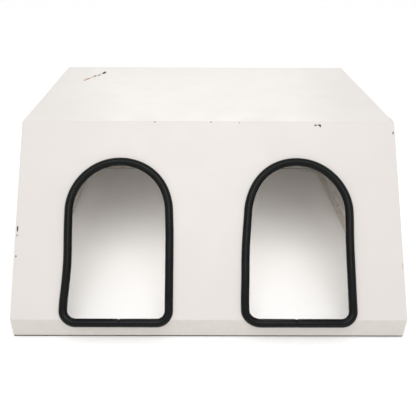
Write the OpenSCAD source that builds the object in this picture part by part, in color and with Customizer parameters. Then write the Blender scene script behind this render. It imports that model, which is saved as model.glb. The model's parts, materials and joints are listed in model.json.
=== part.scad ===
// Twin calf hutch: a folded sheet-steel hood over an angle-iron base frame,
// with two arched doorways edged in slit rubber hose. It stands on rubber
// ground strips. Its front faces -Y, and Z is up.

/* [Shell] */
// Width across the side flanges
hutch_w = 2400; // [2000:10:2900]
// Height of the roof above the ground
hutch_h = 1100; // [910:10:1330]
// Depth of the flat roof, from the front fold to the back fold
roof_d = 1370; // [1100:10:1700]
// Rise of the sloping front above the horizontal, in degrees
front_angle = 50.5; // [42:0.5:60]
// Height of the fold between the upright lip and the sloping front
lip_h = 137; // [120:1:180]
// Lean of the back wall from upright, in degrees
back_lean = 14.5; // [6:0.5:24]

/* [Sheet] */
// Thickness of the shell sheet
sheet_t = 2; // [1.5:0.5:3]
// Outer radius of the long folds of the shell
fold_r = 11; // [10:1:16]
// Outer radius of the bends down to the side flanges
edge_r = 9; // [6:1:10]
// Depth of the side flanges
flange_w = 40; // [34:1:60]

/* [Doorways] */
// Distance between the middles of the two doorways
door_spacing = 1116; // [900:2:1300]
// Width of each cut-out in the sheet
door_w = 632; // [500:2:800]
// Distance down the slope from the front fold to the crown of the cut-out
door_drop = 270; // [150:2:420]
// Distance down from the lip fold to the bottom of the cut-out
door_sill = 19; // [10:1:24]
// Radius of the two bottom corners of the cut-out
door_corner_r = 72; // [50:1:120]

/* [Rubber] */
// Outer diameter of the doorway edging
edging_d = 50; // [36:1:60]
// Bore of the doorway edging
edging_bore = 30; // [16:1:34]
// Gap between the edging's two ends, at the middle of the sill
edging_joint = 1; // [0.5:0.5:4]
// Thickness of the ground strips
strip_h = 10; // [9:1:25]
// Width of the ground strips
strip_w = 45; // [40:1:60]
// Distance from the shell's outer face to the ground strips
strip_inset = 5; // [3:1:10]

/* [Frame] */
// Leg of the base frame's angle iron
runner_w = 50; // [40:1:60]
// Thickness of the angle iron
runner_t = 5; // [4:1:8]
// Leg of the triangular corner gussets
gusset_w = 150; // [130:5:200]
// Height of the roof ribs
rib_h = 40; // [30:1:60]
// Width of the roof ribs
rib_w = 40; // [30:1:60]
// Thickness of the folded ribs, stiffeners and headers
rib_t = 3; // [2:0.5:4]
// Distance that the tabs of the roof ribs reach below the side flanges
tab_reach = 38; // [30:1:70]
// Width of the upright stiffeners
stiffener_w = 80; // [60:1:120]
// Depth of the upright stiffeners
stiffener_h = 30; // [20:1:45]
// Leg of the folded headers behind the front and back folds
header_w = 80; // [70:1:120]

/* [Fasteners] */
// Thread diameter of the bolts
bolt_d = 8; // [6:1:10]
// Extra width of the bolt holes
bolt_play = 1; // [0.4:0.2:2]
// Spacing that the bolts in the flanges come close to
bolt_pitch = 240; // [160:10:400]
// Distance of the first and last bolt from the end of a flange
bolt_end = 80; // [72:1:120]

/* [Hidden] */
$fn = 48;
fold_steps = 6;
arch_steps = 40;
past = 1;                        // how far a cutter runs past what it cuts
edging_clear = 0.3;              // clearance of the edging's slot round the sheet
bolt_head_d = 2 * bolt_d;
bolt_head_h = 0.55 * bolt_d;
nut_w = 1.625 * bolt_d;          // across the flats
nut_h = 0.8 * bolt_d;
nut_play = 0.05;                 // radial clearance between a nut and its bolt
bolt_tail = 2;                   // length of thread past the nut
hole_d = bolt_d + bolt_play;
nut_pocket_d = 2.5 * bolt_d;     // hole in a ground strip round a gusset nut
bolt_rim = 3;                    // flat metal beside a bolt head

// Corners of the shell's outer outline, as [y, z] from the face of the lip
lip_foot = [0, strip_h];
lip_fold = [0, lip_h];
front_fold = [(hutch_h - lip_h) / tan(front_angle), hutch_h];
back_fold = front_fold + [roof_d, 0];
back_foot = back_fold + [(hutch_h - strip_h) * tan(back_lean), strip_h - hutch_h];
seam_set = flange_w;             // distance from a fold to the seam in the roof
front_seam = front_fold + [seam_set, 0];
back_seam = back_fold - [seam_set, 0];
back_angle = back_lean - 90;     // direction of the back wall, going down
slope_len = norm(front_fold - lip_fold);
door_top = slope_len - door_drop; // crown of a cut-out, up from the lip fold
back_len = norm(back_foot - back_fold);

// The leaning back wall runs past its foot, and is cut level with the strips
below_foot = back_foot + flange_w * unit(back_foot - back_fold);
front_path = [lip_foot, lip_fold, front_fold, front_seam];
roof_path = [front_seam, back_seam];
back_path = [back_seam, back_fold, below_foot];
shell_path = [lip_foot, lip_fold, front_fold, back_fold, below_foot];

panel_x = hutch_w / 2 - sheet_t;          // outer face of a side panel
room_x = panel_x - sheet_t;               // inner face of a side panel
flat_x = hutch_w / 2 - edge_r;            // where a face starts to bend to its flange
panel_inset = edge_r + 1;                 // from the outline to a side panel's edge
flange_bolt_in = (edge_r + flange_w) / 2; // from the outline to the bolts

// The edging's lowest run stands furthest forward
edging_front = -door_sill * cos(front_angle) + sheet_t / 2 * sin(front_angle) - edging_d / 2;
mid_y = (edging_front + back_foot[0]) / 2;

rib_count = 3;                   // one for each roof_rib node
runner_gauge = 0.6 * runner_w;   // from the heel of the angle iron to its bolts

// ---- Folded sheet ---------------------------------------------------------

function unit(v) = v / norm(v);

// Towards the room, for a path that runs from the lip over the roof to the back
function inward(d) = [d[1], -d[0]];

function direction(path, i) = unit(path[i + 1] - path[i]);

function turn(path, i) = acos(direction(path, i - 1) * direction(path, i));

function heading(path, i) = atan2(direction(path, i)[1], direction(path, i)[0]);

function fold_center(path, i) =
    path[i] - direction(path, i - 1) * fold_r * tan(turn(path, i) / 2)
    + inward(direction(path, i - 1)) * fold_r;

// The rounded path, moved towards the room by depth
function rounded(path, depth) = concat(
    [path[0] + inward(direction(path, 0)) * depth],
    [for (i = [1:1:len(path) - 2])
        for (k = [0:fold_steps])
            let (a = heading(path, i - 1) + 90 - turn(path, i) * k / fold_steps)
                fold_center(path, i) + (fold_r - depth) * [cos(a), sin(a)]],
    [path[len(path) - 1] + inward(direction(path, len(path) - 2)) * depth]
);

// The same path with sharp corners
function mitred(path, depth) = concat(
    [path[0] + inward(direction(path, 0)) * depth],
    [for (i = [1:1:len(path) - 2])
        path[i] + (inward(direction(path, i - 1)) + inward(direction(path, i)))
            * depth / (1 + cos(turn(path, i)))],
    [path[len(path) - 1] + inward(direction(path, len(path) - 2)) * depth]
);

function reversed(list) = [for (i = [len(list) - 1:-1:0]) list[i]];

function band(outer, inner) = concat(outer, reversed(inner));

function strip_section(path, from, to) = band(rounded(path, from), rounded(path, to));

// A path made longer by extra at both ends
function lengthened(path, extra) =
    let (last = len(path) - 1)
    [for (i = [0:last])
        path[i] + (i == 0 ? -extra * direction(path, 0)
            : i == last ? extra * direction(path, last - 1) : [0, 0])];

// The bend at the right-hand side of the sheet's surface at depth, and on
// past the flange, as [x, depth]
function shoulder(depth) = concat(
    [for (k = [0:fold_steps]) let (a = 90 * k / fold_steps)
        [flat_x + (edge_r - depth) * sin(a), edge_r - (edge_r - depth) * cos(a)]],
    [[hutch_w / 2 + past, edge_r]]
);

// An outline in [y, z] drawn along X, from x to x + width
module along_x(x, width) {
    translate([x, 0, 0]) rotate([90, 0, 90]) linear_extrude(width) children();
}

module across(half_width) {
    along_x(-half_width, 2 * half_width) children();
}

module on_both_sides() {
    children();
    mirror([1, 0, 0]) children();
}

// From a point of the outline: X across, Y along heading, Z out of the shell
module on_face(at, angle) {
    translate([0, at[0], at[1]]) rotate([angle, 0, 0]) children();
}

// Everything inside the sheet's surface at depth, down to floor
module rounded_block(path, depth, floor) {
    right = shoulder(depth);
    rows = concat([for (p = reversed(right)) [-p[0], p[1]]], right);
    rings = [for (p = rows) [for (q = band(rounded(path, p[1]), mitred(path, floor)))
        [p[0], q[0], q[1]]]];
    n = len(rings[0]);
    last = len(rings) - 1;
    polyhedron(
        points = [for (ring = rings) for (q = ring) q],
        faces = concat(
            [[for (i = [n - 1:-1:0]) i], [for (i = [0:n - 1]) last * n + i]],
            [for (j = [0:last - 1]) for (i = [0:n - 1])
                let (k = (i + 1) % n)
                    [j * n + i, j * n + k, (j + 1) * n + k, (j + 1) * n + i]]
        )
    );
}

// A face with its folds, and a bent flange down each side
module flanged_sheet(path) {
    difference() {
        intersection() {
            rounded_block(lengthened(path, past), 0, flange_w + past);
            across(hutch_w / 2) polygon(band(mitred(path, -past), mitred(path, flange_w)));
        }
        intersection() {
            rounded_block(lengthened(path, 2 * past), sheet_t, flange_w + 2 * past);
            across(hutch_w / 2 - sheet_t) polygon(
                band(mitred(lengthened(path, past), 0), mitred(lengthened(path, past), flange_w + past))
            );
        }
    }
}

// All that lies lower than the tops of the ground strips
module below_strips() {
    translate([-hutch_w, -past, strip_h - hutch_h])
        cube([2 * hutch_w, 2 * back_foot[0], hutch_h]);
}

// ---- Fasteners ------------------------------------------------------------

// Button-head bolt: the head stands on z = 0 and the shank points down
module bolt(grip) {
    r = bolt_head_d / 2;
    difference() {
        union() {
            rotate_extrude() polygon([
                [0, 0], [r, 0], [r, 0.3 * bolt_head_h], [0.8 * r, 0.75 * bolt_head_h],
                [0.5 * r, bolt_head_h], [0, bolt_head_h]
            ]);
            translate([0, 0, -grip - nut_h - bolt_tail])
                cylinder(d = bolt_d, h = grip + nut_h + bolt_tail + past);
        }
        translate([0, 0, 0.4 * bolt_head_h]) cylinder(d = 0.7 * bolt_d, h = bolt_head_h, $fn = 6);
    }
}

module nut(grip) {
    translate([0, 0, -grip - nut_h]) difference() {
        cylinder(d = nut_w / cos(30), h = nut_h, $fn = 6);
        translate([0, 0, -past]) cylinder(r = bolt_d / 2 + nut_play, h = nut_h + 2 * past);
    }
}

module hole(grip) {
    translate([0, 0, -grip - past]) cylinder(d = hole_d, h = grip + 2 * past);
}

// Even positions from first to last, spaced as near bolt_pitch as fits
function spread(first, last) =
    let (n = max(1, round((last - first) / bolt_pitch)))
    [for (k = [0:n]) first + (last - first) * k / n];

// Bolts in the flange of one side, as [y, z]
slope_bolts = [for (s = spread(bolt_end, slope_len - bolt_end))
    lip_fold + s * direction(front_path, 1) + flange_bolt_in * inward(direction(front_path, 1))];
back_bolts = [for (s = spread(bolt_end, back_len - bolt_end))
    back_fold + s * direction(back_path, 1) + flange_bolt_in * inward(direction(back_path, 1))];
bay = roof_d / (rib_count + 1);
roof_bolts = [for (i = [0:rib_count]) for (part = [0.3, 0.7])
    [front_fold[0] + bay * (i + part), hutch_h - flange_bolt_in]];
lip_bolts = [[flange_bolt_in, (strip_h + runner_w + lip_h) / 2]];
front_bolts = concat(lip_bolts, slope_bolts);
flange_bolts = concat(front_bolts, roof_bolts, back_bolts);

// Bolts through a side panel alone
tab_foot = hutch_h - flange_w - tab_reach;
rib_bolt_z = tab_foot + bolt_head_d / 2 + bolt_rim;
rib_bolts = [for (i = [0:rib_count - 1]) for (side = [-1, 1])
    [rib_y(i) + side * (rib_w / 2 - bolt_d), rib_bolt_z]];
runner_bolts = [for (y = spread(2 * bolt_end, back_foot[0] - 2 * bolt_end))
    [y, strip_h + runner_gauge]];

function rib_y(i) = front_fold[0] + bay * (i + 1);

// A fastener on a side, at x and pointing out of it
module at_side(x, spots) {
    for (p = spots) translate([x, p[0], p[1]]) rotate([0, 90, 0]) children();
}

module side_fasteners() {
    at_side(hutch_w / 2, flange_bolts) children(0);
    at_side(panel_x, rib_bolts) children(1);
    at_side(panel_x, runner_bolts) children(2);
}

module side_bolts() {
    side_fasteners() {
        bolt(2 * sheet_t);
        bolt(sheet_t + rib_t);
        bolt(sheet_t + runner_t);
    }
}

module side_nuts() {
    side_fasteners() {
        nut(2 * sheet_t);
        nut(sheet_t + rib_t);
        nut(sheet_t + runner_t);
    }
}

// ---- Shell ----------------------------------------------------------------

// The cut-out's outline on the sloping front, moved out by grow
function arch_points(grow) =
    let (r = door_w / 2 + grow, c = door_corner_r + grow, low = -door_sill - grow)
    concat(
        [for (k = [0:arch_steps]) [r * cos(180 * k / arch_steps),
            door_top - door_w / 2 + r * sin(180 * k / arch_steps)]],
        [for (k = [0:2 * fold_steps])
            let (a = 180 + 90 * k / (2 * fold_steps)) [c - r + c * cos(a), low + c + c * sin(a)]],
        [for (k = [0:2 * fold_steps])
            let (a = 270 + 90 * k / (2 * fold_steps)) [r - c + c * cos(a), low + c + c * sin(a)]]
    );

module door_cut(grow) {
    on_face(lip_fold, front_angle) translate([0, 0, -2 * edging_d])
        linear_extrude(3 * edging_d) polygon(arch_points(grow));
}

module at_doors() {
    for (side = [-1, 1]) translate([side * door_spacing / 2, 0, 0]) children();
}

module front_panel_shape() {
    difference() {
        flanged_sheet(front_path);
        at_doors() door_cut(0);
        on_both_sides() at_side(hutch_w / 2, front_bolts) hole(sheet_t);
    }
}

module roof_panel_shape() {
    difference() {
        flanged_sheet(roof_path);
        on_both_sides() at_side(hutch_w / 2, roof_bolts) hole(sheet_t);
    }
}

module back_panel_shape() {
    difference() {
        flanged_sheet(back_path);
        below_strips();
        on_both_sides() at_side(hutch_w / 2, back_bolts) hole(sheet_t);
        at_back_runner() hole(sheet_t);
    }
}

module side_panel_shape() {
    inset = mitred(shell_path, panel_inset);
    difference() {
        along_x(room_x, sheet_t) polygon(inset);
        below_strips();
        at_side(panel_x, concat(flange_bolts, rib_bolts, runner_bolts)) hole(sheet_t);
    }
}

// ---- Stiffening -----------------------------------------------------------

// A folded plate that lies against the inside of the fold at path[i]
module header_shape(path, i) {
    corner = mitred(path, sheet_t)[i];
    plate = [corner - header_w * direction(path, i - 1), corner, corner + header_w * direction(path, i)];
    across(flat_x) polygon(strip_section(plate, 0, rib_t));
}

// Channel with its open side against a sheet, as [across, into the room]
function channel(width, depth) = [
    [-width / 2, 0], [-width / 2, -depth], [width / 2, -depth], [width / 2, 0],
    [width / 2 - rib_t, 0], [width / 2 - rib_t, rib_t - depth],
    [rib_t - width / 2, rib_t - depth], [rib_t - width / 2, 0]
];

// Runs up a face, from one distance along it to another
module upright_channel(at, angle, from, to) {
    on_face(at, angle) translate([0, to, -sheet_t]) rotate([90, 0, 0])
        linear_extrude(to - from) polygon(channel(stiffener_w, stiffener_h));
}

module roof_rib(i) {
    difference() {
        union() {
            translate([0, rib_y(i), hutch_h - sheet_t])
                along_x(rib_t - room_x, 2 * (room_x - rib_t)) polygon(channel(rib_w, rib_h));
            on_both_sides()
                translate([room_x - rib_t, rib_y(i) - rib_w / 2, tab_foot])
                    cube([rib_t, rib_w, hutch_h - sheet_t - tab_foot]);
        }
        on_both_sides() translate([flat_x, rib_y(i) - rib_w, hutch_h - panel_inset])
            cube([edge_r, 2 * rib_w, panel_inset]);
        on_both_sides() at_side(panel_x, rib_bolts) hole(sheet_t + rib_t);
    }
}

// ---- Base frame -----------------------------------------------------------

room_front = sheet_t;
room_back = back_foot[0] - sheet_t / cos(back_lean);

// All that lies further than depth from the back wall's outer face
module before_back(depth) {
    set = depth / cos(back_lean);
    across(hutch_w) polygon([
        [-past, 0], [back_foot[0] - set + strip_h * tan(back_lean), 0],
        back_fold - [set, 0], [-past, hutch_h]
    ]);
}

module front_runner_shape() {
    difference() {
        union() {
            translate([runner_t - room_x, room_front, strip_h])
                cube([2 * (room_x - runner_t), runner_t, runner_w]);
            translate([runner_w - room_x, room_front, strip_h])
                cube([2 * (room_x - runner_w), runner_w, runner_t]);
        }
        at_gussets(false) gusset_hole();
    }
}

module back_runner_shape() {
    rise = runner_w * cos(back_lean);
    run = runner_w * sin(back_lean);
    inner = runner_t / cos(back_lean);
    difference() {
        union() {
            across(room_x - runner_t) polygon([
                [room_back, strip_h], [room_back - run, strip_h + rise],
                [room_back - run - inner, strip_h + rise], [room_back - inner, strip_h]
            ]);
            translate([runner_w - room_x, room_back - runner_w, strip_h])
                cube([2 * (room_x - runner_w), runner_w - inner + past, runner_t]);
        }
        at_back_runner() hole(sheet_t + runner_t);
        at_gussets(true) gusset_hole();
    }
}

module side_runner_shape() {
    difference() {
        union() {
            intersection() {
                translate([room_x - runner_t, panel_inset, strip_h])
                    cube([runner_t, back_foot[0], runner_w]);
                before_back(panel_inset);
            }
            intersection() {
                translate([room_x - runner_w, room_front + runner_t, strip_h])
                    cube([runner_w, back_foot[0], runner_t]);
                before_back(sheet_t + runner_t);
            }
        }
        at_side(panel_x, runner_bolts) hole(sheet_t + runner_t);
        at_gussets(false) gusset_hole();
        at_gussets(true) gusset_hole();
    }
}

// Bolts of the back runner point out of the back wall
module at_back_runner() {
    for (x = spread(-room_x + 2 * bolt_end, room_x - 2 * bolt_end))
        on_face(back_fold, back_angle) translate([x, back_len - runner_gauge, 0]) children();
}

// The inner corner of two runners at one end: X and Y run into the room
module at_gusset_corner(back) {
    on_both_sides()
        translate([-room_x, back ? room_back : room_front, strip_h + runner_t])
            mirror([0, back ? 1 : 0, 0]) children();
}

gusset_off = runner_t + 1 + runner_w * tan(back_lean);

// Both bolts of each gusset at one end
module at_gussets(back) {
    at_gusset_corner(back) {
        translate([runner_gauge, gusset_w - runner_w / 2, 0]) children();
        translate([gusset_w - runner_w / 2, runner_gauge, 0]) children();
    }
}

module gusset_hole() {
    translate([0, 0, runner_t]) hole(2 * runner_t);
}

module corner_gussets_shape() {
    for (back = [false, true]) difference() {
        at_gusset_corner(back) linear_extrude(runner_t) polygon([
            [runner_t + 1, gusset_off], [gusset_w, gusset_off], [gusset_w, runner_w],
            [runner_w, gusset_w], [runner_t + 1, gusset_w]
        ]);
        at_gussets(back) gusset_hole();
    }
}

// Both ends' gusset fasteners, standing on the plates
module at_gusset_bolts() {
    at_gussets(false) translate([0, 0, runner_t]) children();
    at_gussets(true) translate([0, 0, runner_t]) children();
}

// ---- Rubber ---------------------------------------------------------------

strip_out = hutch_w / 2 - strip_inset;
strip_back = back_foot[0] - strip_inset;

module ground_strip(low, high) {
    difference() {
        translate([low[0], low[1], 0]) cube([high[0] - low[0], high[1] - low[1], strip_h]);
        at_gusset_bolts() translate([0, 0, -2 * strip_h]) cylinder(d = nut_pocket_d, h = 2 * strip_h);
    }
}

// The hose round a doorway, on its own plane, solid and of one diameter
module hose_loop(d) {
    half = door_w / 2;
    crown = door_top - half;
    low = door_corner_r - door_sill;
    inner = half - door_corner_r;
    translate([0, crown, 0]) rotate_extrude(angle = 180) translate([half, 0]) circle(d = d);
    for (side = [-1, 1]) translate([side * half, low, 0]) rotate([-90, 0, 0])
        cylinder(d = d, h = crown - low);
    translate([-inner, low, 0]) rotate([0, 0, 180]) rotate_extrude(angle = 90)
        translate([door_corner_r, 0]) circle(d = d);
    translate([inner, low, 0]) rotate([0, 0, 270]) rotate_extrude(angle = 90)
        translate([door_corner_r, 0]) circle(d = d);
    translate([-inner, -door_sill, 0]) rotate([0, 90, 0]) cylinder(d = d, h = 2 * inner);
}

module door_edging() {
    difference() {
        on_face(lip_fold, front_angle) translate([0, 0, -sheet_t / 2]) difference() {
            hose_loop(edging_d);
            hose_loop(edging_bore);
            translate([-edging_joint / 2, -door_sill - edging_d, -edging_d])
                cube([edging_joint, 2 * edging_d, 2 * edging_d]);
        }
        difference() {
            across(door_w) polygon(strip_section(front_path, -edging_clear, sheet_t + edging_clear));
            door_cut(-edging_clear);
        }
    }
}

// ---- Pieces in the hutch's frame ------------------------------------------

module placed(tint) {
    color(tint) translate([0, -mid_y, 0]) children();
}

paint = [0.94, 0.92, 0.89];
inner_paint = [0.86, 0.85, 0.82];
rubber_black = [0.13, 0.14, 0.14];
zinc = [0.72, 0.73, 0.75];

module front_panel() { placed(paint) front_panel_shape(); }
module roof_panel() { placed(paint) roof_panel_shape(); }
module back_panel() { placed(paint) back_panel_shape(); }
module right_side_panel() { placed(paint) side_panel_shape(); }
module left_side_panel() { placed(paint) mirror([1, 0, 0]) side_panel_shape(); }
module front_header() { placed(inner_paint) header_shape(front_path, 2); }
module back_header() { placed(inner_paint) header_shape(back_path, 1); }
module front_stiffener() {
    placed(inner_paint)
        upright_channel(lip_fold, front_angle, 2 * fold_r, slope_len - header_w - 2 * fold_r);
}
module back_stiffener() {
    placed(inner_paint) upright_channel(back_fold, back_angle, header_w + 2 * fold_r,
        back_len - runner_w - stiffener_h);
}
module roof_rib_at(i) { placed(inner_paint) roof_rib(i); }
module front_runner() { placed(zinc) front_runner_shape(); }
module back_runner() { placed(zinc) back_runner_shape(); }
module right_runner() { placed(zinc) side_runner_shape(); }
module left_runner() { placed(zinc) mirror([1, 0, 0]) side_runner_shape(); }
module corner_gussets() { placed(zinc) corner_gussets_shape(); }
module front_ground_strip() {
    placed(rubber_black) ground_strip([strip_w - strip_out, strip_inset],
        [strip_out - strip_w, strip_inset + strip_w]);
}
module back_ground_strip() {
    placed(rubber_black) ground_strip([strip_w - strip_out, strip_back - strip_w],
        [strip_out - strip_w, strip_back]);
}
module right_ground_strip() {
    placed(rubber_black) ground_strip([strip_out - strip_w, strip_inset], [strip_out, strip_back]);
}
module left_ground_strip() {
    placed(rubber_black) ground_strip([-strip_out, strip_inset], [strip_w - strip_out, strip_back]);
}
module left_door_edging() {
    placed(rubber_black) translate([-door_spacing / 2, 0, 0]) door_edging();
}
module right_door_edging() {
    placed(rubber_black) translate([door_spacing / 2, 0, 0]) door_edging();
}
module right_side_bolts() { placed(zinc) side_bolts(); }
module right_side_nuts() { placed(zinc) side_nuts(); }
module left_side_bolts() { placed(zinc) mirror([1, 0, 0]) side_bolts(); }
module left_side_nuts() { placed(zinc) mirror([1, 0, 0]) side_nuts(); }
module back_runner_bolts() { placed(zinc) at_back_runner() bolt(sheet_t + runner_t); }
module back_runner_nuts() { placed(zinc) at_back_runner() nut(sheet_t + runner_t); }
module gusset_bolts() { placed(zinc) at_gusset_bolts() bolt(2 * runner_t); }
module gusset_nuts() { placed(zinc) at_gusset_bolts() nut(2 * runner_t); }

front_panel();
roof_panel();
back_panel();
left_side_panel();
right_side_panel();
front_header();
back_header();
front_stiffener();
back_stiffener();
roof_rib_at(0);  // roof_rib_front
roof_rib_at(1);  // roof_rib_middle
roof_rib_at(2);  // roof_rib_back
front_runner();
back_runner();
left_runner();
right_runner();
corner_gussets();
front_ground_strip();
back_ground_strip();
left_ground_strip();
right_ground_strip();
left_door_edging();
right_door_edging();
left_side_bolts();
left_side_nuts();
right_side_bolts();
right_side_nuts();
back_runner_bolts();
back_runner_nuts();
gusset_bolts();
gusset_nuts();
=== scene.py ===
"""Looks of the twin calf hutch: painted sheet steel, slit-hose door edging, and wear, on a pale floor."""

import json
import math

import bmesh
import bpy
from mathutils import Matrix, Vector, noise


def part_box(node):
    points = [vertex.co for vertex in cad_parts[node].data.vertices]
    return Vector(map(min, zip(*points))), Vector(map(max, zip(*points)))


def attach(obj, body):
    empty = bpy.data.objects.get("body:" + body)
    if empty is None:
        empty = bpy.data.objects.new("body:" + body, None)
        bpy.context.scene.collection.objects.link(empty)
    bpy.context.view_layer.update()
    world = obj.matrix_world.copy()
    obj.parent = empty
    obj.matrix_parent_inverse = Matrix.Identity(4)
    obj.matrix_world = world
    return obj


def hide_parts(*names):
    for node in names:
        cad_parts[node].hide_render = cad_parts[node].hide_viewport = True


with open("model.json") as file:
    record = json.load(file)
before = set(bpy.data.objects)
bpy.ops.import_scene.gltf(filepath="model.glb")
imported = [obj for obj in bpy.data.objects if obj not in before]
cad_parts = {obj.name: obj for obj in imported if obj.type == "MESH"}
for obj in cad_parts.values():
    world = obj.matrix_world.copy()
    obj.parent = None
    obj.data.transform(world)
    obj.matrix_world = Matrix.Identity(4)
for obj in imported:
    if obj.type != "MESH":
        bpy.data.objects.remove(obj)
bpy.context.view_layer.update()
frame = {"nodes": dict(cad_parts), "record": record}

# ---- Places, in metres -----------------------------------------------------

# The front's slope, the sheet and the lip are the same as in part.scad
FRONT_ANGLE = math.radians(50.5)
SHEET = 0.002
LIP_FOLD_Z = 0.137

# The rest is measured on the frame
front_low, front_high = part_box("front_panel")
LIP_Y = front_low.y
ROOF_Z = front_high.z

SLOPE_UP = Vector((0, math.cos(FRONT_ANGLE), math.sin(FRONT_ANGLE)))
SLOPE_OUT = Vector((0, -math.sin(FRONT_ANGLE), math.cos(FRONT_ANGLE)))
LIP_FOLD = Vector((0, LIP_Y, LIP_FOLD_Z))
FRONT_FOLD = LIP_FOLD + SLOPE_UP * (ROOF_Z - LIP_FOLD_Z) / math.sin(FRONT_ANGLE)
ROOM_MIDDLE = Vector((0, (LIP_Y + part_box("back_panel")[1].y) / 2, ROOF_Z / 2))


# ---- Camera ----------------------------------------------------------------

LENS = 43.40
SHIFT_X = 0.028
CAMERA_PLACE = (-0.082, LIP_Y - 2.280, 2.232)
# Degrees about X, Y and Z: 90 about X looks level, and less looks down
CAMERA_TURN = (60.0, -0.17, -0.02)


def make_camera():
    data = bpy.data.cameras.new("camera")
    data.sensor_width = 36.0
    data.lens = LENS
    data.shift_x = SHIFT_X
    data.clip_end = 100.0
    camera = bpy.data.objects.new("camera", data)
    camera.location = CAMERA_PLACE
    camera.rotation_euler = [math.radians(turn) for turn in CAMERA_TURN]
    bpy.context.scene.collection.objects.link(camera)
    bpy.context.scene.camera = camera


make_camera()


# ---- Materials -------------------------------------------------------------

class Nodes:
    """Builds one material's node tree with short calls that return output sockets."""

    def __init__(self, name):
        self.material = bpy.data.materials.new(name)
        self.material.use_nodes = True
        self.tree = self.material.node_tree
        self.shader = self.tree.nodes["Principled BSDF"]
        geometry = self.node("NewGeometry")
        self.position = geometry.outputs["Position"]
        self.normal = geometry.outputs["True Normal"]

    def node(self, kind, **settings):
        made = self.tree.nodes.new("ShaderNode" + kind)
        for key, value in settings.items():
            setattr(made, key, value)
        return made

    def feed(self, socket, value):
        if isinstance(value, bpy.types.NodeSocket):
            self.tree.links.new(value, socket)
        else:
            socket.default_value = value

    def math(self, operation, *values):
        made = self.node("Math", operation=operation)
        for socket, value in zip(made.inputs, values):
            self.feed(socket, value)
        return made.outputs[0]

    def vector(self, operation, *values):
        made = self.node("VectorMath", operation=operation)
        for socket, value in zip(made.inputs, values):
            self.feed(socket, value)
        return made.outputs["Value" if operation in ("DOT_PRODUCT", "LENGTH") else "Vector"]

    def ramp(self, value, start, end, low=0.0, high=1.0):
        """low up to start, high from end, and smooth between."""
        made = self.node("MapRange", interpolation_type="SMOOTHSTEP")
        for name, put in (("Value", value), ("From Min", start), ("From Max", end), ("To Min", low),
                          ("To Max", high)):
            self.feed(made.inputs[name], put)
        return made.outputs[0]

    def noise(self, scale, detail, stretch=(1, 1, 1)):
        """Noise with about `scale` blotches to a metre, from 0 to 1."""
        made = self.node("TexNoise")
        place = self.vector("MULTIPLY", self.position, stretch)
        for name, put in (("Vector", place), ("Scale", scale), ("Detail", detail)):
            self.feed(made.inputs[name], put)
        return made.outputs["Fac"]

    def noise_color(self, scale, detail):
        """Noise with three channels of its own, as a colour."""
        made = self.node("TexNoise")
        for name, put in (("Vector", self.position), ("Scale", scale), ("Detail", detail)):
            self.feed(made.inputs[name], put)
        return made.outputs["Color"]

    def facing_out(self):
        """Above 0 on a face turned away from the middle of the room, and below 0 on one turned to it."""
        from_middle = self.vector("SUBTRACT", self.position, tuple(ROOM_MIDDLE))
        return self.vector("DOT_PRODUCT", self.normal, from_middle)

    def part_of(self, vector, axis):
        made = self.node("SeparateXYZ")
        self.feed(made.inputs[0], vector)
        return made.outputs[axis]

    def mix(self, amount, first, second):
        made = self.node("Mix", data_type="RGBA")
        self.feed(made.inputs["Factor"], amount)
        for name, value in (("A", first), ("B", second)):
            socket = next(s for s in made.inputs if s.name == name and s.type == "RGBA")
            self.feed(socket, value if isinstance(value, bpy.types.NodeSocket) else (*value, 1))
        return next(s for s in made.outputs if s.type == "RGBA")

    def bump(self, height, distance, under=None):
        made = self.node("Bump")
        self.feed(made.inputs["Height"], height)
        self.feed(made.inputs["Distance"], distance)
        if under is not None:
            self.feed(made.inputs["Normal"], under)
        return made.outputs["Normal"]

    def finish(self, **sockets):
        for name, value in sockets.items():
            if isinstance(value, tuple):
                value = (*value, 1)
            self.feed(self.shader.inputs[name.replace("_", " ")], value)
        return self.material


def plain(name, color, roughness):
    n = Nodes(name)
    return n.finish(Base_Color=color, Roughness=roughness)


PAINT = (0.605, 0.573, 0.546)
CLOUD_SHADE = 0.978
STEEP_PAINTED_SHADE = (0.985, 0.985, 0.985)
FLECK = (0.575, 0.545, 0.505)
SPLASH_AND_LIP_SHADE = (0.525, 0.492, 0.455)
BOTTOM_EDGE_DARK = (0.100, 0.082, 0.060)
ROOM_PAINT = (0.600, 0.565, 0.530)
ROOM_STREAK = (0.545, 0.510, 0.470)
BEDDING_DUST = (0.480, 0.440, 0.385)
BARE_STEEL = (0.030, 0.027, 0.024)
RUST = (0.520, 0.235, 0.060)
DEEP_RUST = (0.215, 0.098, 0.045)
PRIMER = (0.400, 0.310, 0.210)
RUBBER_DUST = (0.480, 0.450, 0.410)


def on_roof(across, behind_fold):
    return FRONT_FOLD + Vector((across, behind_fold, 0))


def on_front(across, up_slope):
    return LIP_FOLD + Vector((across, 0, 0)) + SLOPE_UP * up_slope
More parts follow.
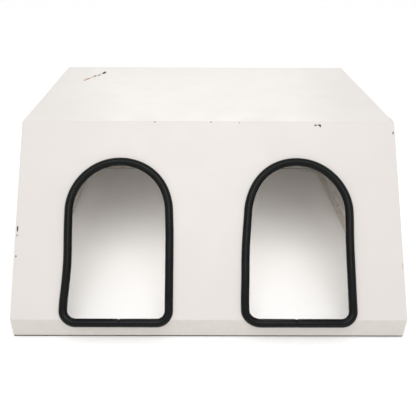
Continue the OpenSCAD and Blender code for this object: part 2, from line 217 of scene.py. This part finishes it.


# Chips and scratches of the paint, and one painted shade line: place, half length, half width,
# and in degrees the tilt about X that lays the mark on its sheet and its turn on the sheet from X
FRONT_TILT = math.degrees(FRONT_ANGLE)
DARK_CHIPS_AND_CORNER_SHADE = [
    (on_roof(-0.955, 0.990), 0.020, 0.008, 0, 70),
    (on_roof(-0.915, 1.070), 0.025, 0.008, 0, 80),
    (on_roof(-0.885, 1.090), 0.015, 0.006, 0, 70),
    (on_roof(-0.855, 1.170), 0.040, 0.015, 0, 85),
    (on_front(0.690, 1.225), 0.010, 0.005, FRONT_TILT, -5),
    (on_front(0.715, 1.225), 0.010, 0.006, FRONT_TILT, -5),
    (on_front(0.720, 1.220), 0.010, 0.004, FRONT_TILT, 85),
    (on_front(-0.345, 1.245), 0.004, 0.003, FRONT_TILT, 0),
    (on_front(0.015, 1.245), 0.005, 0.003, FRONT_TILT, 0),
    (on_front(0.200, 1.240), 0.004, 0.003, FRONT_TILT, 0),
    (on_front(1.185, 1.175), 0.010, 0.004, FRONT_TILT, 80),
    (on_front(-1.185, 0.550), 0.020, 0.005, FRONT_TILT, 90),
    (on_front(-1.185, 0.510), 0.006, 0.004, FRONT_TILT, 90),
    (on_front(-1.185, 0.380), 0.007, 0.004, FRONT_TILT, 90),
    # Not a chip: a thin dark line painted along the roof's right edge just behind the fold, a painted
    # shade at that corner
    (on_roof(1.195, 0.055), 0.050, 0.003, 0, 90),
]
RUST_CHIPS = [
    (on_roof(-0.970, 0.960), 0.040, 0.012, 0, 70),
    (on_roof(-0.885, 1.095), 0.020, 0.008, 0, 60),
]
PRIMER_CHIPS = [
    (on_roof(-0.930, 1.035), 0.040, 0.015, 0, 70),
    (on_roof(-0.885, 1.110), 0.050, 0.015, 0, 80),
    (on_front(1.190, 0.325), 0.020, 0.003, FRONT_TILT, 90),
]
CHIP_DEPTH = 0.012
CHIP_RAGGED = (0.009, 0.009, 0.009)
# A distance to start from, in chip radii, which lies outside every chip
BEYOND_CHIPS = 10.0
# How much of its own tone each kind of chip shows
PRIMER_COVER = 0.60
RUST_COVER = 0.95


def chip_mask(n, chips, ragged):
    """1 inside any of the chips, which are ellipsoids with a ragged outline."""
    nearest = BEYOND_CHIPS
    for place, half_length, half_width, tilt, turn in chips:
        spot = n.node("Mapping", vector_type="TEXTURE")
        n.feed(spot.inputs["Vector"], ragged)
        spot.inputs["Location"].default_value = place
        tilted = Matrix.Rotation(math.radians(tilt), 3, "X")
        turned = Matrix.Rotation(math.radians(turn), 3, "Z")
        spot.inputs["Rotation"].default_value = (tilted @ turned).to_euler()
        spot.inputs["Scale"].default_value = (half_length, half_width, CHIP_DEPTH)
        nearest = n.math("MINIMUM", nearest, n.vector("LENGTH", spot.outputs["Vector"]))
    return n.ramp(nearest, 0.85, 1.1, 1.0, 0.0)


def shell_paint():
    """Off-white enamel: orange peel, slow waves, faint stains, chips outside, grime inside, some painted
    shade.
    """
    n = Nodes("shell_paint")
    outside = n.math("GREATER_THAN", n.facing_out(), 0.0)
    height = n.part_of(n.position, 2)

    cloud = n.ramp(n.noise(2.2, 4.0), 0.35, 0.70)
    outer = n.mix(cloud, PAINT, tuple(CLOUD_SHADE * c for c in PAINT))
    fleck = n.ramp(n.noise(55, 2.0), 0.60, 0.80, 0.0, 0.35)
    outer = n.mix(fleck, outer, FLECK)
    # Painted shade: faces steeper than the roof are made a little darker than level ones
    level = n.ramp(n.part_of(n.normal, 2), 0.70, 0.95)
    outer = n.mix(level, n.vector("MULTIPLY", outer, STEEP_PAINTED_SHADE), outer)
    # Darker towards the ground and over the whole lip: mud splash low down, and on the lip a painted
    # shade as well
    on_lip = n.ramp(n.part_of(n.normal, 1), -0.99, -0.90, 1.0, 0.0)
    low_down = n.math("MAXIMUM", on_lip, n.ramp(height, 0.0, 0.22, 0.50, 0.0))
    splash_and_lip_shade = n.math("MULTIPLY", low_down, n.ramp(n.noise(26, 5.0), 0.35, 0.70, 0.65, 0.95))
    outer = n.mix(splash_and_lip_shade, outer, SPLASH_AND_LIP_SHADE)
    # Up to about 12 mm above the ground the sheet is coloured nearly black, fading out by 14 mm
    outer = n.mix(n.ramp(height, 0.0115, 0.0140, 0.9, 0.0), outer, BOTTOM_EDGE_DARK)

    streak = n.ramp(n.noise(9, 5.0, stretch=(1, 0.15, 0.15)), 0.40, 0.75, 0.0, 0.5)
    inner = n.mix(streak, ROOM_PAINT, ROOM_STREAK)
    patchy = n.ramp(n.noise(14, 5.0), 0.35, 0.70, 0.0, 0.4)
    bedding = n.math("MULTIPLY", n.ramp(height, 0.03, 0.35, 1.0, 0.0), patchy)
    inner = n.mix(bedding, inner, BEDDING_DUST)

    either_way = n.vector("SUBTRACT", n.noise_color(160, 3.0), (0.5, 0.5, 0.5))
    shift = n.vector("MULTIPLY", either_way, CHIP_RAGGED)
    ragged = n.vector("ADD", n.position, shift)
    dark = n.math("MULTIPLY", outside, chip_mask(n, DARK_CHIPS_AND_CORNER_SHADE, ragged))
    rust = n.math("MULTIPLY", outside, chip_mask(n, RUST_CHIPS, ragged))
    primer = n.math("MULTIPLY", outside, chip_mask(n, PRIMER_CHIPS, ragged))
    marked = n.math("MAXIMUM", n.math("MAXIMUM", dark, rust), n.math("MULTIPLY", primer, PRIMER_COVER))

    color = n.mix(outside, inner, outer)
    color = n.mix(n.math("MULTIPLY", primer, PRIMER_COVER), color, PRIMER)
    color = n.mix(n.math("MULTIPLY", rust, RUST_COVER), color, RUST)
    color = n.mix(dark, color, BARE_STEEL)

    gloss = n.ramp(n.noise(7, 4.0), 0.30, 0.70, 0.36, 0.45)
    gloss = n.math("ADD", gloss, n.math("MULTIPLY", n.math("SUBTRACT", 1.0, outside), 0.18))
    gloss = n.math("MAXIMUM", gloss, n.math("MULTIPLY", marked, 0.75))
    waves = n.bump(n.noise(1.8, 1.0), 0.0022)
    peel = n.bump(n.noise(240, 2.0), 0.00012, under=waves)
    marks_bump = n.bump(n.math("SUBTRACT", 1.0, marked), 0.0006, under=peel)
    return n.finish(Base_Color=color, Roughness=gloss, Normal=marks_bump)


def inner_paint():
    """Satin off-white on the ribs and headers, thinner and dirtier than outside."""
    n = Nodes("inner_paint")
    base = n.mix(n.ramp(n.noise(6, 5.0), 0.35, 0.70), (0.600, 0.565, 0.525), (0.530, 0.490, 0.445))
    spots = n.ramp(n.noise(70, 4.0), 0.62, 0.70, 0.0, 0.6)
    color = n.mix(spots, base, (0.300, 0.215, 0.140))
    rough = n.ramp(n.noise(20, 3.0), 0.3, 0.7, 0.50, 0.62)
    return n.finish(Base_Color=color, Roughness=rough, Normal=n.bump(n.noise(300, 2.0), 0.00015))


def pale_primer():
    """Matt pale grey primer on the angle iron, rubbed and rusting a little at the ground."""
    n = Nodes("pale_primer")
    height = n.part_of(n.position, 2)
    base = n.mix(n.ramp(n.noise(18, 5.0), 0.35, 0.70), (0.760, 0.735, 0.705), (0.690, 0.665, 0.635))
    near_ground = n.ramp(height, 0.012, 0.030, 0.45, 0.1)
    rusty = n.math("MULTIPLY", near_ground, n.ramp(n.noise(45, 6.0), 0.60, 0.70))
    color = n.mix(rusty, base, DEEP_RUST)
    rough = n.math("ADD", 0.55, n.math("MULTIPLY", rusty, 0.3))
    return n.finish(Base_Color=color, Roughness=rough, Normal=n.bump(n.noise(500, 3.0), 0.0002))


def plated_steel():
    """Zinc-plated bolts and nuts, dulled in blotches."""
    n = Nodes("plated_steel")
    dull = n.ramp(n.noise(120, 4.0), 0.40, 0.65)
    color = n.mix(dull, (0.600, 0.610, 0.620), (0.420, 0.415, 0.390))
    rough = n.ramp(n.noise(220, 3.0), 0.3, 0.7, 0.28, 0.48)
    grain = n.bump(n.noise(900, 2.0), 0.00004)
    return n.finish(Base_Color=color, Roughness=rough, Metallic=0.9, Normal=grain)


def rubber(name, tone, bloom, dust, rough, inside_dust=0.0):
    """Black rubber with a grey bloom, a fine grain, and pale dust, which can be thicker in the room."""
    n = Nodes(name)
    base = n.mix(n.ramp(n.noise(14, 4.0), 0.35, 0.70), tone, bloom)
    dusty = n.ramp(n.noise(260, 3.0), 0.62, 0.75, 0.0, dust)
    inside = n.math("LESS_THAN", n.facing_out(), 0.0)
    dusty = n.math("MAXIMUM", dusty, n.math("MULTIPLY", inside, inside_dust))
    color = n.mix(dusty, base, RUBBER_DUST)
    roughness = n.ramp(n.noise(30, 4.0), 0.3, 0.7, rough - 0.05, rough + 0.05)
    grain = n.bump(n.noise(1400, 2.0), 0.00003, under=n.bump(n.noise(60, 2.0), 0.0002))
    return n.finish(Base_Color=color, Roughness=roughness, Specular_IOR_Level=0.13, Normal=grain)


LOOKS = {
    "shell": shell_paint(),
    "inner_steel": inner_paint(),
    "base_frame": pale_primer(),
    "fasteners": plated_steel(),
    "ground_rubber": rubber(
        "ground_rubber", tone=(0.014, 0.012, 0.010), bloom=(0.030, 0.026, 0.020),
        dust=0.10, rough=0.80, inside_dust=0.8),
    "edging_rubber": rubber(
        "edging_rubber", tone=(0.0018, 0.0022, 0.0024), bloom=(0.0034, 0.0040, 0.0042),
        dust=0.004, rough=0.22),
}

for row in frame["record"]["subparts"]:
    mesh = frame["nodes"][row["node"]].data
    mesh.materials.clear()
    mesh.materials.append(LOOKS[row["material_slot"]])


# ---- Doorway edging: slit hose pushed onto the sheet -----------------------

# The doorway is the same as in part.scad; the hose is a little thicker than the 50 mm there
DOOR_W = 0.632
DOOR_DROP = 0.270
DOOR_SILL = 0.019
CORNER_R = 0.072
HOSE_R = 0.0260
HOSE_BORE_R = 0.0150
SLIT = 0.0026
RING_GAP = 0.008
JOINT_GAP = 0.0012
SECTION_STEPS = 28
DOOR_TOP = (FRONT_FOLD - LIP_FOLD).length - DOOR_DROP

# The hose swells and thins along its run by this share
UNEVEN = 0.012
# The two cut ends draw in over about this many rings, and more on the side towards the doorway
NICK_RINGS = 0.7
NICK = 0.03
NICK_INNER = 0.10
# Both lower corners wrinkle on their inner side
WRINKLE_X = DOOR_W / 2 - 0.02
WRINKLE_Y = 0.005
WRINKLE_REACH_X = 0.05
WRINKLE_REACH_Y = 0.06
WRINKLE = 0.030
WRINKLE_TURN = 1.4


def add_mesh(name, vertices, faces, look, sharp_angle=40):
    mesh = bpy.data.meshes.new(name)
    build = bmesh.new()
    made = [build.verts.new(v) for v in vertices]
    for face in faces:
        build.faces.new([made[i] for i in face])
    bmesh.ops.recalc_face_normals(build, faces=build.faces)
    for face in build.faces:
        face.smooth = True
    for edge in build.edges:
        edge.smooth = len(edge.link_faces) == 2 and edge.calc_face_angle() < math.radians(sharp_angle)
    build.to_mesh(mesh)
    build.free()
    mesh.materials.append(look)
    piece = bpy.data.objects.new(name, mesh)
    bpy.context.scene.collection.objects.link(piece)
    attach(piece, "root")
    return piece


def loop_route(joint):
    """The hose's middle from joint to joint: (across, up the slope) and the outward direction."""
    half = DOOR_W / 2
    spring = DOOR_TOP - half
    heel = CORNER_R - DOOR_SILL
    inner = half - CORNER_R

    def line(start, end, out):
        steps = max(1, round((Vector(end) - Vector(start)).length / RING_GAP))
        return [(Vector(start).lerp(Vector(end), k / steps), Vector(out)) for k in range(steps)]

    def arc(middle, radius, start, end):
        steps = max(4, round(abs(end - start) * radius / RING_GAP))
        turns = [start + (end - start) * k / steps for k in range(steps)]
        outs = [Vector((math.cos(a), math.sin(a))) for a in turns]
        return [(Vector(middle) + radius * out, out) for out in outs]

    quarter = math.pi / 2
    first, last = joint + JOINT_GAP / 2, joint - JOINT_GAP / 2
    return (
        line((first, -DOOR_SILL), (inner, -DOOR_SILL), (0, -1))
        + arc((inner, heel), CORNER_R, -quarter, 0)
        + line((half, heel), (half, spring), (1, 0))
        + arc((0, spring), half, 0, 2 * quarter)
        + line((-half, spring), (-half, heel), (-1, 0))
        + arc((-inner, heel), CORNER_R, 2 * quarter, 3 * quarter)
        + line((-inner, -DOOR_SILL), (last, -DOOR_SILL), (0, -1))
        + [(Vector((last, -DOOR_SILL)), Vector((0, -1)))]
    )


def slit_section():
    """The hose's cut face as (outward, across the sheet), round the outside and back round the bore."""
    def ring(radius):
        start = math.asin(SLIT / 2 / radius)
        return [start + (2 * math.pi - 2 * start) * k / SECTION_STEPS for k in range(SECTION_STEPS + 1)]

    outside = [(HOSE_R * math.cos(a), HOSE_R * math.sin(a)) for a in ring(HOSE_R)]
    bore = [(HOSE_BORE_R * math.cos(a), HOSE_BORE_R * math.sin(a)) for a in reversed(ring(HOSE_BORE_R))]
    return outside + bore


def door_edging(name, node, joint, bulges):
    """bulges: (across, up the slope), how far they reach, and how far the hose stands out there."""
    low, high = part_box(node)
    middle_x = (low.x + high.x) / 2
    section = slit_section()
    count = len(section)
    vertices = []
    route = loop_route(joint)
    rings = len(route)
    for number, (spot, out) in enumerate(route):
        push = sum(amount * math.exp(-((spot - Vector(place)).length / reach) ** 2)
                   for place, reach, amount in bulges)
        center = spot + push * Vector((out.x, max(out.y, 0)))
        beside_corner = abs(abs(spot.x) - WRINKLE_X) / WRINKLE_REACH_X
        above_corner = abs(spot.y - WRINKLE_Y) / WRINKLE_REACH_Y
        tight = max(0.0, 1 - beside_corner) * max(0.0, 1 - above_corner)
        nick = math.exp(-min(number, rings - 1 - number) / NICK_RINGS)
        for outward, across in section:
            inward = max(0.0, -outward / HOSE_R)
            where = Vector((middle_x * 9 + spot.x * 7, spot.y * 7, across * 30))
            swell = 1 + UNEVEN * noise.noise(where)
            swell -= nick * (NICK + NICK_INNER * inward)
            swell += WRINKLE * tight * math.sin(number * WRINKLE_TURN) * inward
            place = center + out * outward * swell
            vertices.append(LIP_FOLD + Vector((middle_x + place.x, 0, 0)) + SLOPE_UP * place.y
                            + SLOPE_OUT * (across * swell - SHEET / 2))
    faces = []
    for ring in range(0, (rings - 1) * count, count):
        for i in range(count):
            after = (i + 1) % count
            faces.append((ring + i, ring + after, ring + count + after, ring + count + i))
    for end in (0, (rings - 1) * count):
        for i in range(SECTION_STEPS):
            faces.append((end + i, end + i + 1, end + count - 2 - i, end + count - 1 - i))
    piece = add_mesh(name, vertices, faces, LOOKS["edging_rubber"], sharp_angle=50)
    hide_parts(node)


door_edging("left_door_hose", "left_door_edging", 0.016, [
    ((0, 0.98), 0.26, 0.003),
    ((-0.32, 0.36), 0.14, -0.006),
    ((-0.32, 0.06), 0.12, 0.008),
    ((0.32, 0.72), 0.14, -0.006),
])
door_edging("right_door_hose", "right_door_edging", -0.026, [
    ((0, 0.98), 0.26, 0.003),
    ((-0.30, 0.76), 0.16, -0.010),
    ((-0.32, 0.36), 0.20, 0.014),
    ((-0.32, 0.07), 0.18, 0.020),
    ((0.32, 0.66), 0.14, 0.006),
])


# ---- Floor and light -------------------------------------------------------

FLOOR_HALF = 30.0
FLOOR_TONE = (0.96, 0.96, 0.96)
WORLD_STRENGTH = 1.03
SOFTBOX_AWAY = 6
WARM = (1.0, 0.970, 0.930)
WARM_LOW = (1.0, 0.97, 0.94)


def make_floor():
    mesh = bpy.data.meshes.new("floor")
    corners = [(x * FLOOR_HALF, y * FLOOR_HALF, 0) for x, y in ((-1, -1), (1, -1), (1, 1), (-1, 1))]
    mesh.from_pydata(corners, [], [(0, 1, 2, 3)])
    floor = bpy.data.objects.new("floor", mesh)
    bpy.context.scene.collection.objects.link(floor)
    mesh.materials.append(plain("floor", FLOOR_TONE, 0.9))


def make_light(name, place, aim, size, power, color=(1, 1, 1)):
    data = bpy.data.lights.new(name, "AREA")
    data.color = color
    data.shape = "RECTANGLE"
    data.size, data.size_y = size
    data.energy = power
    light = bpy.data.objects.new(name, data)
    light.location = place
    light.rotation_euler = (Vector(aim) - Vector(place)).to_track_quat("-Z", "Y").to_euler()
    light.visible_camera = False
    bpy.context.scene.collection.objects.link(light)


def softbox(name, azimuth, elevation, size, power):
    """A softbox well away from the hutch. Azimuth 0 is in front, and 90 is on its right."""
    turn, rise = math.radians(azimuth), math.radians(elevation)
    aim = Vector((0, 0, 0.4))
    away = Vector((math.sin(turn) * math.cos(rise), -math.cos(turn) * math.cos(rise), math.sin(rise)))
    make_light(name, aim + SOFTBOX_AWAY * away, aim, size, power)


world = bpy.data.worlds.new("studio")
world.use_nodes = True
world.node_tree.nodes["Background"].inputs["Color"].default_value = (1, 1, 1, 1)
world.node_tree.nodes["Background"].inputs["Strength"].default_value = WORLD_STRENGTH
bpy.context.scene.world = world
bpy.context.scene.view_settings.view_transform = "Standard"
make_floor()
softbox("key", 0, 52, (4, 3.6), 110)
softbox("rear", 180, 35, (4, 2), 50)

# Small fills that lighten the floor inside each doorway, the side walls, and the floor before the lip
for side in (-1, 1):
    inside = Vector((0.48 * side, FRONT_FOLD.y + 0.05, ROOF_Z - 0.10))
    make_light(f"door_fill_{side}", inside, inside - Vector((0, 0.17, 1)), (0.50, 0.2), 3.0, WARM)
    beside = Vector((0.98 * side, 0.3, 0.10))
    make_light(f"wall_fill_{side}", beside, beside + Vector((side, 0, 0.05)), (1.2, 0.08), 0.05, WARM_LOW)
ahead = Vector((0, LIP_Y - 0.30, 0.22))
make_light("lip_fill", ahead, ahead + Vector((0, 0.25, -1)), (2.2, 0.15), 0.20)
